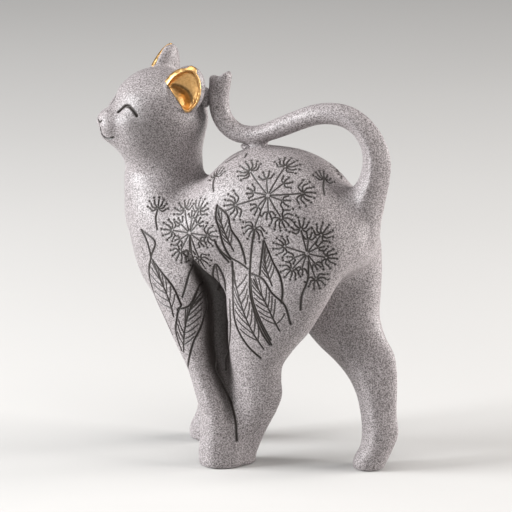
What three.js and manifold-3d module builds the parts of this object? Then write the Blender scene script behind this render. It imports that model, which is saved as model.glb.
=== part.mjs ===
// A walking cat figurine: cast body, four legs, head with cupped gilded ears, and a tail that
// loops forward over the back until its tip rests against the back of the head.
// Units are millimetres. +Z is up, the cat walks towards -X, and its left side faces -Y.

import * as THREE from 'three';
import { mergeVertices } from 'three/addons/utils/BufferGeometryUtils.js';
import Module from 'manifold-3d';

const wasm = await Module();
wasm.setup();

// ---- driving dimensions --------------------------------------------------------------------

const JOINT_GAP = 0.3;          // clearance between bonded castings
const HIP_CUT = 78;             // height at which the hind legs are bonded on
const SHOULDER_CUT = 70;        // height at which the front legs are bonded on
const LEG_SPLIT = -9.5;         // the front legs' part of the body lies below this x
const NECK_CUT = 114.5;         // height at which the neck stands on the shoulders
const NECK_BACK = -24.6;        // x of the back of the neck where it stands
const REACH = 300;              // further than any casting goes

const BODY_SIDES = 24;
const LEG_SIDES = 16;
const TAIL_SIDES = 12;

const HEAD_CENTRE = new THREE.Vector3(-41, -2, 141.5);
const HEAD_YAW = 42;            // degrees the face is turned to the cat's left
const HEAD_ROLL = 8;            // degrees the left ear is lowered
const SKULL = [18.2, 18.4, 17.9];   // half depth, half width and half height

// The face's rounded masses: [centre, half sizes, facets round], in the head's frame, which is
// forward, left and up of the skull's centre.
const MUZZLE = [[17.4, 0, -3], [8.7, 8.4, 6], 18];
const CHIN = [[17.4, 0, -8], [6.4, 6, 4.4], 14];
const JAW = [[8, 0, -8.4], [13, 12, 9.6], 20];
const BRIDGE = [[14.5, 0, 0.6], [9, 4.8, 4.8], 14];
const SKULL_FACETS = 28;

const EAR_LENGTH = 13;
const EAR_SETBACK = -5.4;       // ear's base centre, forward of the skull's centre
const EAR_SPREAD = 12.4;        // and out from it
const EAR_LIFT = 10;            // and above it
const EAR_SINK = 3.5;           // how far the ear's root goes into the skull
const EAR_WALL = 1.5;           // thickness of the ear's shell
const EAR_FORWARD = 1.6;        // how far the hollow is moved out, in walls
const EAR_SIDES = 14;
const EAR_STEPS = 9;
const GILDING = 0.7;            // thickness of the gilded lining as modelled

// Ear's sections from root to tip: [fraction of its length, half width, half depth].
const EAR_LEAF = [
  [0, 6.6, 5.2], [0.25, 8, 5], [0.5, 7.9, 4.4], [0.75, 6, 3.4], [0.92, 3.4, 2.2], [1, 1.2, 1],
];

// Pads that bond the tail to the back and to the head: centre, then half sizes.
const SADDLE = [[-4.5, 0, 130], [4.5, 3, 1.7]];
const TIP_PAD = [[-20.9, 0, 148], [3, 2.6, 4.2]];

const STONE_GREY = 0x8f898a;
const STONE_ROUGHNESS = 0.6;
const GOLD = 0xc99860;
const GOLD_ROUGHNESS = 0.3;

// Each station of a swept casting is [x, y, z, deep, wide, roundness]: the middle of a section, its
// half depth along the body, its half width across it, and the power of its superellipse
// (2 is an ellipse, less gives a ridge along each side).

// Trunk, from the chest to the rump, with sections square to X.
const TRUNK = [
  [-50, 0, 98, 5, 5, 2],
  [-46, 0, 97, 13, 12, 2],
  [-38, 0, 95.5, 19, 17.5, 2],
  [-28, 0, 93.5, 21.5, 20.5, 2],
  [-20, 0, 93.5, 23, 22, 2],
  [-10, 0, 98, 26.6, 23, 2],
  [0, 0, 102, 28, 23.6, 2],
  [10, 0, 103.5, 27.2, 23.7, 2],
  [20, 0, 104, 25.6, 23.2, 2],
  [30, 0, 102.5, 22.9, 21.6, 2],
  [39, 0, 99.5, 17.6, 18.4, 2],
  [46, 0, 98, 12, 13, 2],
  [50, 0, 97.5, 6, 7, 2],
  [51.4, 0, 97.5, 2, 3, 2],
];

// Chest, from between the front legs up to the neck, with level sections.
const CHEST = [
  [-27.5, 0, 62, 9, 8, 2],
  [-27.5, 0, 66, 15, 13, 2],
  [-27.8, 0, 72, 18.3, 17.5, 2],
  [-29, 0, 80, 20.4, 19.6, 2],
  [-31, 0, 90, 21.3, 19.6, 2],
  [-34, 0, 100, 20.3, 18.6, 2],
  [-37, 0, 108, 18, 17.4, 2],
  [-39.7, 0, 116, 15.8, 15.8, 2],
];

const NECK = [
  [-40.1, 0, 110, 15.6, 14.4, 2],
  [-40.3, 0, 116, 15.4, 14.2, 2],
  [-40.4, -0.3, 124, 15.9, 14.6, 2],
  [-40.2, -0.8, 132, 16.8, 15.6, 2],
  [-40.2, -1.2, 140, 16.8, 16, 2],
  [-40.6, -1.6, 147, 12, 12, 2],
];

const FRONT_LEFT = [
  [-9.9, -14.6, 0, 7.4, 5.4, 1.8],
  [-9.9, -14.6, 3, 8.2, 5.9, 1.8],
  [-9.6, -14.4, 12, 8.2, 5.9, 1.75],
  [-10, -14.2, 22, 8, 5.9, 1.7],
  [-12.4, -14, 30, 7.8, 6.2, 1.7],
  [-16, -13.8, 40, 7.4, 6.8, 1.7],
  [-19.7, -13.6, 50, 8.7, 7.6, 1.8],
  [-22.6, -13.4, 60, 10.8, 8.4, 1.9],
  [-25.4, -12.8, 70, 13, 9.2, 2],
  [-27.5, -12, 80, 14.5, 9.4, 2],
  [-29, -11, 90, 12, 8, 2],
  [-30, -10, 97, 6, 4, 2],
];

const FRONT_RIGHT = [
  [-28.2, 15.4, 0, 7.2, 5.4, 1.8],
  [-28, 15.4, 3.5, 8, 5.9, 1.8],
  [-25, 15, 12, 7.6, 5.9, 1.75],
  [-24, 14.6, 22, 7.6, 5.9, 1.7],
  [-24.2, 14.2, 32, 7.6, 6.2, 1.7],
  [-25, 13.8, 42, 8.2, 6.8, 1.7],
  [-26, 13.6, 52, 9.4, 7.6, 1.8],
  [-27.2, 13.4, 62, 11, 8.4, 1.9],
  [-28.2, 12.8, 71, 13, 9.2, 2],
  [-29, 12, 81, 14, 9.4, 2],
  [-30, 11, 90, 12, 8, 2],
  [-30.5, 10, 97, 6, 4, 2],
];

const REAR_LEFT = [
  [-1.8, -6.8, 0, 5.8, 5.4, 1.8],
  [-1.6, -6.8, 3.5, 6.4, 6, 1.8],
  [0, -7, 10, 6.7, 6, 1.8],
  [2.2, -7.4, 17, 7.5, 6.2, 1.8],
  [3.8, -8, 24, 9.3, 6.5, 1.8],
  [4.8, -8.4, 31, 10.8, 6.8, 1.8],
  [4.5, -8.8, 37, 10.8, 7.1, 1.8],
  [4.4, -9.2, 43, 11.5, 7.5, 1.9],
  [5.9, -9.8, 49, 13.8, 8, 1.9],
  [9.4, -10.6, 59, 18.5, 9.4, 2],
  [13.8, -11.4, 70, 20.9, 10.6, 2],
  [18.4, -11.8, 82, 22.6, 11.4, 2],
  [22.6, -11, 92, 21.4, 11.2, 2],
  [25, -9, 102, 17, 9, 2],
  [26, -7, 110, 9, 5, 2],
];

const REAR_RIGHT = [
  [46.6, 7, 0, 6, 5.4, 1.8],
  [48, 7, 4, 6.9, 6, 1.8],
  [50.4, 7, 9, 6.8, 6, 1.8],
  [51.8, 7.1, 15, 7.7, 6, 1.7],
  [51, 7.2, 24, 7.8, 6, 1.7],
  [50, 7.4, 31, 8.8, 6.3, 1.7],
  [48, 7.8, 37.5, 10.7, 6.8, 1.7],
  [45, 8.2, 43, 13.2, 7.3, 1.8],
  [40.6, 8.8, 48.5, 16.2, 8, 1.9],
  [35.6, 9.4, 54.5, 17.2, 8.8, 2],
  [31, 10.2, 62, 18.8, 9.8, 2],
  [28.4, 11.2, 72, 21.2, 10.8, 2],
  [27.2, 11.6, 84, 22.7, 11.5, 2],
  [27.2, 10.6, 96, 21.2, 10.8, 2],
  [27, 8.4, 105, 15.5, 8.4, 2],
  [27, 6.4, 111, 8.5, 5, 2],
];

// Tail, from its root in the rump to its tip, with sections square to its length.
const TAIL = [
  [41, 0, 100, 9, 8, 2],
  [45.6, 0, 107, 8.6, 7.6, 1.9],
  [49.2, 0, 115, 7, 6.4, 1.8],
  [51.6, 0, 122.5, 6, 5.6, 1.7],
  [52.2, 0, 130, 5.7, 5.2, 1.65],
  [49.6, 0, 137.8, 5.1, 4.8, 1.65],
  [45.3, 0, 142.8, 4.8, 4.5, 1.65],
  [40, 0, 145.7, 4.6, 4.3, 1.7],
  [33.5, 0, 146.6, 4.3, 4.2, 1.75],
  [26.6, 0, 145.6, 4.1, 4.1, 1.8],
  [19.4, 0, 142.8, 4, 4, 1.8],
  [11.6, 0, 139.2, 3.9, 4, 1.8],
  [5, 0, 136.3, 3.6, 4, 1.8],
  [-1.5, 0, 134.7, 3.5, 4, 1.8],
  [-7.6, 0, 135.1, 3.8, 4, 1.8],
  [-12.4, 0, 138.3, 4, 4, 1.8],
  [-15, 0, 143, 4.1, 4, 1.8],
  [-15.5, 0, 149, 4.2, 4, 1.8],
  [-15.1, 0, 154.5, 4.5, 4, 1.8],
  [-14.6, 0, 157, 4.3, 3.4, 1.8],
];

// ---- shape helpers -------------------------------------------------------------------------

const solidFrom = (positions, triangles) =>
  new wasm.Manifold(new wasm.Mesh({
    numProp: 3,
    vertProperties: new Float32Array(positions),
    triVerts: new Uint32Array(triangles),
  }));

const solidFromGeometry = (geometry) => {
  geometry.deleteAttribute('normal');
  geometry.deleteAttribute('uv');
  const merged = mergeVertices(geometry, 1e-4);
  return solidFrom(merged.attributes.position.array, merged.index.array);
};

const geometryFrom = (solid) => {
  const mesh = solid.getMesh();
  const geometry = new THREE.BufferGeometry();
  geometry.setAttribute('position', new THREE.BufferAttribute(new Float32Array(mesh.vertProperties), 3));
  geometry.setIndex([...mesh.triVerts]);
  geometry.computeVertexNormals();
  return geometry;
};

const box = (low, high) => {
  const size = high.map((value, axis) => value - low[axis]);
  const middle = high.map((value, axis) => (value + low[axis]) / 2);
  return solidFromGeometry(new THREE.BoxGeometry(...size).translate(...middle));
};

const superPower = (value, roundness) => Math.sign(value) * Math.abs(value) ** (2 / roundness);

// Sweeps a superellipse through the stations. Its width always lies along Y. `square` fixes the
// direction that the sections face, and without it they face along the spine. `grow` makes the
// same casting thicker all round, to cut its neighbours back by.
function sweep(stations, { steps, sides, square = null, grow = 0 }) {
  const spine = new THREE.CatmullRomCurve3(stations.map(([x, y, z]) => new THREE.Vector3(x, y, z)));
  const sizes = new THREE.CatmullRomCurve3(stations.map((s) => new THREE.Vector3(s[3], s[4], s[5])));
  const across = new THREE.Vector3(0, 1, 0);
  const positions = [];
  const triangles = [];

  for (let ring = 0; ring <= steps; ring += 1) {
    const t = ring / steps;
    const centre = spine.getPoint(t);
    const size = sizes.getPoint(t);
    const facing = square ? square.clone() : spine.getTangent(t).setY(0).normalize();
    const upright = new THREE.Vector3().crossVectors(across, facing);
    if (ring === 0) centre.addScaledVector(facing, -grow);
    if (ring === steps) centre.addScaledVector(facing, grow);
    for (let side = 0; side < sides; side += 1) {
      const turn = (2 * Math.PI * side) / sides;
      const point = centre.clone()
        .addScaledVector(upright, (size.x + grow) * superPower(Math.cos(turn), size.z))
        .addScaledVector(across, (size.y + grow) * superPower(Math.sin(turn), size.z));
      positions.push(point.x, point.y, point.z);
    }
  }
  for (let ring = 0; ring < steps; ring += 1) {
    for (let side = 0; side < sides; side += 1) {
      const next = (side + 1) % sides;
      const [a, b] = [ring * sides + side, ring * sides + next];
      triangles.push(a, b, b + sides, a, b + sides, a + sides);
    }
  }
  const last = steps * sides;
  for (let side = 1; side < sides - 1; side += 1) {
    triangles.push(0, side + 1, side, last, last + side, last + side + 1);
  }
  return solidFrom(positions, triangles);
}

const UP = new THREE.Vector3(0, 0, 1);
const BACKWARD = new THREE.Vector3(1, 0, 0);

const leg = (stations, grow = 0) => sweep(stations, { steps: 18, sides: LEG_SIDES, square: UP, grow });

const all = (solids) => solids.reduce((whole, solid) => whole.add(solid));

// ---- head frame ----------------------------------------------------------------------------

// Turns a head-frame vector (forward, left, up) into the figurine's frame.
const headTurn = new THREE.Matrix4()
  .makeRotationZ(THREE.MathUtils.degToRad(HEAD_YAW))
  .multiply(new THREE.Matrix4().makeBasis(
    new THREE.Vector3(-1, 0, 0), new THREE.Vector3(0, -1, 0), new THREE.Vector3(0, 0, 1)))
  .multiply(new THREE.Matrix4().makeRotationX(THREE.MathUtils.degToRad(-HEAD_ROLL)));

const headPlacement = new THREE.Matrix4().makeTranslation(HEAD_CENTRE).multiply(headTurn);

// An ellipsoid given in the head's frame, made bigger all round by `grow`.
function headMass([centre, radii, facets], grow) {
  const geometry = new THREE.SphereGeometry(1, facets, Math.round(facets * 0.6));
  geometry.rotateX(Math.PI / 2);
  geometry.scale(...radii.map((radius) => radius + grow));
  geometry.translate(...centre);
  geometry.applyMatrix4(headPlacement);
  return solidFromGeometry(geometry);
}

// ---- castings ------------------------------------------------------------------------------

// The whole trunk, with the roots of all four legs, before it is cut for them.
function trunk(grow = 0) {
  return all([
    sweep(TRUNK, { steps: 22, sides: BODY_SIDES, square: BACKWARD, grow }),
    sweep(CHEST, { steps: 10, sides: BODY_SIDES, square: UP, grow }),
    leg(FRONT_LEFT, grow), leg(FRONT_RIGHT, grow), leg(REAR_LEFT, grow), leg(REAR_RIGHT, grow),
  ]);
}

function torso(grow = 0) {
  const half = JOINT_GAP / 2 - grow;
  const belowHips = box([LEG_SPLIT, -REACH, -REACH], [REACH, REACH, HIP_CUT + half]);
  const belowShoulders = box([-REACH, -REACH, -REACH], [LEG_SPLIT + 1, REACH, SHOULDER_CUT + half]);
  const aboveShoulders = box([-REACH, -REACH, NECK_CUT - half], [NECK_BACK, REACH, REACH]);
  return trunk(grow).subtract(belowHips).subtract(belowShoulders).subtract(aboveShoulders);
}

function lowerLeg(stations, cut) {
  return leg(stations).subtract(box([-REACH, -REACH, cut - JOINT_GAP / 2], [REACH, REACH, REACH]));
}

function head(grow = 0) {
  const neck = sweep(NECK, { steps: 8, sides: BODY_SIDES, square: UP, grow })
    .subtract(box([-REACH, -REACH, -REACH], [REACH, REACH, NECK_CUT + JOINT_GAP / 2 - grow]));
  const skull = [[0, 0, 0], SKULL, SKULL_FACETS];
  const masses = [skull, MUZZLE, CHIN, JAW, BRIDGE].map((mass) => headMass(mass, grow));
  return all([neck, ...masses]);
}

const tail = (grow = 0) => sweep(TAIL, { steps: 46, sides: TAIL_SIDES, grow });

// Pad of filler round a place where the tail is bonded on.
function bondPad([centre, radii]) {
  return solidFromGeometry(new THREE.SphereGeometry(1, 16, 10).scale(...radii).translate(...centre));
}

const tailSaddle = () => bondPad(SADDLE).subtract(tail(JOINT_GAP)).subtract(torso(JOINT_GAP));

const tipBond = () => bondPad(TIP_PAD).subtract(tail(JOINT_GAP)).subtract(head(JOINT_GAP));

// A leaf-shaped ear, `side` 1 for the cat's left and -1 for its right, swept along its own length.
// `inset` makes the smaller leaf that hollows it out, moved out through the open face.
function earLeaf(side, inset) {
  const sections = EAR_LEAF.map(([t, wide, deep]) => new THREE.Vector3(t, wide, deep));
  const sizes = new THREE.CatmullRomCurve3(sections);
  const positions = [];
  const triangles = [];
  for (let ring = 0; ring <= EAR_STEPS; ring += 1) {
    const size = sizes.getPoint(ring / EAR_STEPS);
    const height = -EAR_SINK + size.x * (EAR_LENGTH + EAR_SINK - inset * 0.8);
    for (let k = 0; k < EAR_SIDES; k += 1) {
      const turn = (2 * Math.PI * k) / EAR_SIDES;
      positions.push(
        Math.cos(turn) * Math.max(size.y - inset, 0.25),
        Math.sin(turn) * Math.max(size.z - inset * 0.5, 0.25) + inset * EAR_FORWARD,
        height,
      );
    }
  }
  for (let ring = 0; ring < EAR_STEPS; ring += 1) {
    for (let k = 0; k < EAR_SIDES; k += 1) {
      const next = (k + 1) % EAR_SIDES;
      const [a, b] = [ring * EAR_SIDES + k, ring * EAR_SIDES + next];
      triangles.push(a, b, b + EAR_SIDES, a, b + EAR_SIDES, a + EAR_SIDES);
    }
  }
  const last = EAR_STEPS * EAR_SIDES;
  for (let k = 1; k < EAR_SIDES - 1; k += 1) triangles.push(0, k + 1, k, last, last + k, last + k + 1);

  const geometry = new THREE.BufferGeometry();
  geometry.setAttribute('position', new THREE.BufferAttribute(new Float32Array(positions), 3));
  geometry.setIndex(triangles);
  // Leaf frame: x along the base, y out through the open face, z towards the tip.
  const tip = new THREE.Vector3(-0.36, 0.05 * side, 0.93).normalize();
  const open = new THREE.Vector3(0.5, 0.85 * side, 0.1);
  open.addScaledVector(tip, -open.dot(tip)).normalize();
  const base = new THREE.Vector3().crossVectors(open, tip);
  const place = new THREE.Matrix4().makeBasis(base, open, tip)
    .setPosition(EAR_SETBACK, EAR_SPREAD * side, EAR_LIFT);
  geometry.applyMatrix4(place).applyMatrix4(headPlacement);
  return solidFromGeometry(geometry);
}

const ear = (side) => earLeaf(side, 0)
  .subtract(earLeaf(side, EAR_WALL))
  .subtract(head(JOINT_GAP));

const earGilding = (side) => earLeaf(side, EAR_WALL + JOINT_GAP)
  .intersect(earLeaf(side, 0))
  .subtract(earLeaf(side, EAR_WALL + JOINT_GAP + GILDING))
  .subtract(head(JOINT_GAP));

// ---- the figurine --------------------------------------------------------------------------

const stone = () => new THREE.MeshStandardMaterial({ color: STONE_GREY, roughness: STONE_ROUGHNESS });
const gold = () => new THREE.MeshStandardMaterial({ color: GOLD, roughness: GOLD_ROUGHNESS, metalness: 1 });

const frontLeft = lowerLeg(FRONT_LEFT, SHOULDER_CUT);
const rearLeft = lowerLeg(REAR_LEFT, HIP_CUT).subtract(leg(FRONT_LEFT, JOINT_GAP));

const pieces = [
  ['torso', torso(), stone()],
  ['head_and_neck', head(), stone()],
  ['left_ear', ear(1), stone()],
  ['right_ear', ear(-1), stone()],
  ['left_ear_gilding', earGilding(1), gold()],
  ['right_ear_gilding', earGilding(-1), gold()],
  ['tail', tail().subtract(torso(JOINT_GAP)), stone()],
  ['tail_saddle', tailSaddle(), stone()],
  ['tail_tip_bond', tipBond(), stone()],
  ['front_left_leg', frontLeft, stone()],
  ['front_right_leg', lowerLeg(FRONT_RIGHT, SHOULDER_CUT), stone()],
  ['rear_left_leg', rearLeft, stone()],
  ['rear_right_leg', lowerLeg(REAR_RIGHT, HIP_CUT), stone()],
];

const figurine = new THREE.Group();
for (const [name, solid, material] of pieces) {
  const mesh = new THREE.Mesh(geometryFrom(solid), material);
  mesh.name = name;
  figurine.add(mesh);
}

// The origin is the middle of the figurine's footprint, on the surface that it stands on.
const extent = new THREE.Box3().setFromObject(figurine);
const middle = extent.getCenter(new THREE.Vector3());
figurine.position.set(-middle.x, -middle.y, -extent.min.z);

export default figurine;
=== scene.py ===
"""Looks of the walking cat figurine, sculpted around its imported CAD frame.

Every casting is a region of one smooth field (negative inside), so neighbours meet without a seam.
The field is worked out in millimetres, and its pieces are written in metres.
"""
import math

import bpy
import numpy as np
import openvdb
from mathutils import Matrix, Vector
from mathutils.bvhtree import BVHTree
from mathutils.kdtree import KDTree


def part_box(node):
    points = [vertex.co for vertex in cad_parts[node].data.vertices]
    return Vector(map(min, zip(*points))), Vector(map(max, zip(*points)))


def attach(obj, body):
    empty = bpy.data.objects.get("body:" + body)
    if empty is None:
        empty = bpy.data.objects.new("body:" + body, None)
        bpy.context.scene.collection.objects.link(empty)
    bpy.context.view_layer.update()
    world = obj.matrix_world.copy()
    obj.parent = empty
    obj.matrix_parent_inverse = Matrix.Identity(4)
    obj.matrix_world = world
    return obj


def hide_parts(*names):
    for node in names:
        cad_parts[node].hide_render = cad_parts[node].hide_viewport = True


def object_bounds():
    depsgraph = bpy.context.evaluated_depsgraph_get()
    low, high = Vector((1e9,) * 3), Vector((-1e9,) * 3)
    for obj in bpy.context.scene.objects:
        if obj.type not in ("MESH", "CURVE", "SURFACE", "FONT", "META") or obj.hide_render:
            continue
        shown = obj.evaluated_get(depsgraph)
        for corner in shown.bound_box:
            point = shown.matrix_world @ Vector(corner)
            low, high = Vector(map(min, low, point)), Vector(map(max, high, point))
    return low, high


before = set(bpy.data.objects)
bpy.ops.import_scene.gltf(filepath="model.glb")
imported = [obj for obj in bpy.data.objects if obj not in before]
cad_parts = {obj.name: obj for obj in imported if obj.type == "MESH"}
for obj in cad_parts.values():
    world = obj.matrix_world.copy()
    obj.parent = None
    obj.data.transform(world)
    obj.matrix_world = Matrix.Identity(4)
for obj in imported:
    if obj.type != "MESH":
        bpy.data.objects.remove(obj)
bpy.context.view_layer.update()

MM = 0.001
FAR = 99.0  # farther than anything on the figurine, in millimetres

# ---- castings' sections ----------------------------------------------------------------------
# Each section is (middle x, middle y, height, half depth, half width, roundness), in millimetres.
# The trunk's and the tail's have their half depth in the side view, across their own run.
# Roundness is the power of the section's superellipse.

# The CAD torso's lowest x in the sections' own coordinates, and the shift from those to the frame.
TORSO_FRONT = -55.4
SHIFT = np.array([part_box("torso")[0][0] / MM - TORSO_FRONT, 0.0, 0.0])

TRUNK = [
    (-50, 0, 98, 5, 5, 2), (-46, 0, 97, 13, 12, 2), (-38, 0, 95.5, 19, 17.5, 2),
    (-28, 0, 91.5, 18.5, 21, 2.3), (-20, 0, 93, 22.6, 22.6, 2.3), (-10, 0, 98, 27.4, 23.3, 2.15),
    (0, 0, 102, 28, 23.6, 2), (10, 0, 103.5, 27.2, 23.7, 2), (20, 0, 104, 25.6, 23.2, 2),
    (30, 0, 102.5, 22.9, 21.6, 2), (39, 0, 99.5, 17.6, 18.4, 2), (46, 0, 98, 12, 13, 2),
    (50, 0, 97.5, 6, 7, 2), (51.4, 0, 97.5, 2, 3, 2),
]
CHEST = [
    (-27.5, 0, 62, 9, 8, 2), (-27.5, 0, 66, 15, 13, 2.1), (-27.8, 0, 72, 18.3, 17.5, 2.3),
    (-29, 0, 80, 20.4, 19.4, 2.4), (-31, 0, 90, 21.3, 19.2, 2.4), (-34, 0, 100, 20.3, 18.2, 2.4),
    (-38.6, 0, 108, 16.4, 16.6, 2.3), (-39.9, 0, 116, 15.5, 15, 2.1),
]
NECK = [
    (-39.7, 0, 106, 15.8, 14.2, 2), (-39.7, 0, 116, 15.9, 14, 2), (-40.1, -0.3, 124, 16, 14.4, 2),
    (-40.2, -0.8, 132, 16.6, 15.4, 2), (-40.2, -1.2, 140, 16.6, 15.8, 2),
    (-40.6, -1.6, 147, 12, 12, 2),
]
LEGS = {
    "front_left_leg": [
        (-9.9, -14.6, 0, 7.8, 5.8, 1.8), (-9.9, -14.6, 3, 8.2, 6, 1.65),
        (-9.6, -14.4, 12, 8.2, 6, 1.5), (-10, -14.2, 22, 8, 6, 1.45),
        (-12.4, -14, 30, 7.8, 6.3, 1.45), (-16, -13.8, 40, 7.4, 6.9, 1.55),
        (-19.7, -13.6, 50, 8.7, 7.6, 1.8), (-22.6, -13.4, 60, 10.8, 8.4, 1.9),
        (-25.4, -12.8, 70, 13, 9.2, 2), (-27.5, -12, 80, 14, 9, 2), (-29, -10, 90, 10, 6, 2),
    ],
    "front_right_leg": [
        (-28.2, 15.4, 0, 7.6, 5.8, 1.8), (-28, 15.4, 3.5, 8, 6, 1.75), (-25, 15, 12, 7.6, 6, 1.7),
        (-24, 14.6, 22, 7.6, 6, 1.65), (-24.2, 14.2, 32, 7.6, 6.3, 1.65),
        (-25, 13.8, 42, 8.2, 6.9, 1.7), (-26, 13.6, 52, 9.4, 7.6, 1.8),
        (-27.2, 13.4, 62, 11, 8.4, 1.9), (-28.2, 12.8, 71, 13, 9.2, 2), (-29, 12, 81, 13.4, 9, 2),
        (-30, 10, 90, 10, 6, 2),
    ],
    "rear_left_leg": [
        (-2.6, -6.8, 0, 5.4, 5.8, 1.8), (-2.4, -6.8, 3.5, 5.8, 6.1, 1.7),
        (-0.5, -7, 10, 6.4, 6.1, 1.6), (2, -7.4, 17, 7.3, 6.3, 1.55),
        (3.8, -8, 24, 9.3, 6.6, 1.55), (4.8, -8.4, 31, 10.8, 6.9, 1.65),
        (4.5, -8.8, 37, 10.8, 7.2, 1.8), (4.4, -9.2, 43, 11.5, 7.6, 1.9),
        (5.9, -9.8, 49, 13.8, 8.1, 1.95), (9.4, -10.6, 59, 18.5, 9.4, 2),
        (13.8, -11.4, 70, 20.9, 10.6, 2), (18.4, -11.6, 82, 22.4, 11.2, 2),
        (22.4, -10.6, 92, 21, 10.6, 2), (25, -8, 102, 16, 8, 2), (26, -6, 109, 8, 5, 2),
    ],
    "rear_right_leg": [
        (46.6, 7, 0, 6.4, 5.8, 1.8), (48, 7, 4, 7.1, 6.1, 1.75), (50.4, 7, 9, 7, 6.1, 1.6),
        (51.8, 7.1, 15, 7.8, 6.1, 1.45), (51, 7.2, 24, 7.9, 6.1, 1.4),
        (50, 7.4, 31, 8.9, 6.4, 1.4), (48, 7.8, 37.5, 10.8, 6.9, 1.4),
        (45, 8.2, 43, 13.3, 7.4, 1.45), (40.6, 8.8, 48.5, 16.2, 8, 1.55),
        (35.6, 9.4, 54.5, 17.2, 8.8, 1.7), (31, 10.2, 62, 18.8, 9.8, 1.95),
        (28.4, 11.2, 72, 21.2, 10.8, 2), (27.2, 11.4, 84, 22.6, 11.4, 2),
        (27.2, 10.4, 96, 21.2, 10.6, 2), (27, 8, 105, 15, 8, 2), (27, 6, 110, 8, 5, 2),
    ],
}
TAIL = [
    (38, 0, 95, 9, 8, 2), (42.5, 0, 102, 9, 8, 2), (46.4, 0, 108.5, 8.4, 7.4, 1.9),
    (49.4, 0, 115.5, 7, 6.6, 1.5), (51.6, 0, 122.5, 6.2, 6, 1.3), (52.2, 0, 130, 5.9, 5.8, 1.25),
    (49.6, 0, 137.8, 5.3, 5.2, 1.25), (45.3, 0, 142.8, 4.9, 4.8, 1.35),
    (40, 0, 145.7, 4.6, 4.4, 1.6), (33.5, 0, 146.6, 4.3, 4.2, 1.85),
    (26.6, 0, 145.6, 4.1, 4.1, 1.9), (19.4, 0, 142.8, 4, 4, 1.9), (11.6, 0, 139.2, 3.9, 4, 1.9),
    (5, 0, 136.3, 3.6, 4, 1.9), (-1.5, 0, 134.7, 3.5, 4, 1.9), (-7.6, 0, 135.1, 3.8, 4, 1.9),
    (-12.4, 0, 138.3, 4, 4, 1.9), (-15, 0, 143, 4.1, 4, 1.8), (-15.5, 0, 149, 4.2, 4, 1.8),
    (-15.1, 0, 154.5, 4.5, 3.8, 1.8), (-14.6, 0, 161, 5.2, 3, 1.8),
]

HEAD_CENTRE = np.array([-41, -2, 141.5])
HEAD_YAW = 42
HEAD_ROLL = 8

# Heights of the seams of the neck and the legs. Behind NECK_BACK the neck's seam rises, and
# moves back by NECK_LEAN of its height.
NECK_SEAM = 114.5
NECK_BACK = -24.6
NECK_LEAN = 0.5
HIP_SEAM = 78
SHOULDER_SEAM = 70
END_ROUND = 3

# The tail's tip is trimmed at this height, plus lobes that are each (middle x, width, height).
TAIL_TOP = 156.2
TAIL_LOBES = [(-18.4, 1.5, 1), (-11.8, 2.7, 3.1)]
LOBE_STEEPNESS = 1.5
TIP_ROUND = 0.9
TAIL_END_ROUND = 1.2
TAIL_SAMPLES = 220


# ---- field helpers ---------------------------------------------------------------------------

def blend(first, second, reach):
    """Union of two fields with a fillet about as wide as reach."""
    overlap = np.maximum(reach - np.abs(first - second), 0) / reach
    return np.minimum(first, second) - overlap * overlap * reach / 4


def carve(first, second, reach):
    """Intersection of two fields, with its edge rounded."""
    return -blend(-first, -second, reach)


def smooth_rows(rows, key, places):
    """Catmull-Rom values of the rows, at places along their column key, held past both ends."""
    rows = np.array(rows, dtype=np.float32)
    knots = rows[:, key]
    slopes = np.gradient(rows, knots, axis=0)
    places = np.clip(places, knots[0], knots[-1])
    low = np.clip(np.searchsorted(knots, places, side="right") - 1, 0, len(rows) - 2)
    span = knots[low + 1] - knots[low]
    t = (places - knots[low]) / span
    t2, t3 = t * t, t * t * t
    h = (2 * t3 - 3 * t2 + 1, t3 - 2 * t2 + t, 3 * t2 - 2 * t3, t3 - t2)
    return (h[0][:, None] * rows[low] + (h[1] * span)[:, None] * slopes[low]
            + h[2][:, None] * rows[low + 1] + (h[3] * span)[:, None] * slopes[low + 1])


def chord_lengths(points):
    """Length of the polyline through points, up to each of them."""
    steps = np.linalg.norm(np.diff(points, axis=0), axis=1)
    return np.concatenate([[0], np.cumsum(steps)])


def superellipse(across, along, wide, deep, power):
    """First-order distance to a superellipse whose half sizes are wide and deep."""
    u = np.abs(across) / wide + 1e-4
    v = np.abs(along) / deep + 1e-4
    rho = (u ** power + v ** power) ** (1 / power)
    slope = np.hypot((u / rho) ** (power - 1) / wide, (v / rho) ** (power - 1) / deep)
    return (rho - 1) / slope


def ellipsoid(local, centre, radii):
    """First-order distance to an ellipsoid."""
    offset = [(local[k] - centre[k]) / radii[k] for k in range(3)]
    rho = np.sqrt(sum(part * part for part in offset)) + 1e-4
    slope = np.sqrt(sum((offset[k] / radii[k]) ** 2 for k in range(3))) + 1e-6
    return (rho - 1) * rho / slope


class Grid:
    """A box of sample points, in millimetres, about the sections' own origin."""

    def __init__(self, low, high, step):
        self.step = step
        self.low = np.floor(np.array(low) / step) * step
        count = np.ceil((np.array(high) - self.low) / step).astype(int) + 1
        self.axes = [self.low[k] + step * np.arange(count[k], dtype=np.float32) for k in range(3)]
        self.x, self.y, self.z = np.meshgrid(*self.axes, indexing="ij", sparse=True)

    @property
    def points(self):
        return self.x, self.y, self.z


def level_casting(grid, rows):
    """Field of a casting whose sections are level."""
    values = smooth_rows(rows, 2, grid.axes[2])
    column = [values[:, k][None, None, :] for k in range(6)]
    field = superellipse(grid.y - column[1], grid.x - column[0], column[4], column[3], column[5])
    lean = np.gradient(values[:, 0], grid.axes[2])
    field = field / np.sqrt(1 + lean * lean)[None, None, :]
    ends = grid.z - rows[-1][2]
    if rows[0][2] > 0:
        ends = np.maximum(ends, rows[0][2] - grid.z)
    return carve(field, np.broadcast_to(ends, field.shape), END_ROUND)


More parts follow.
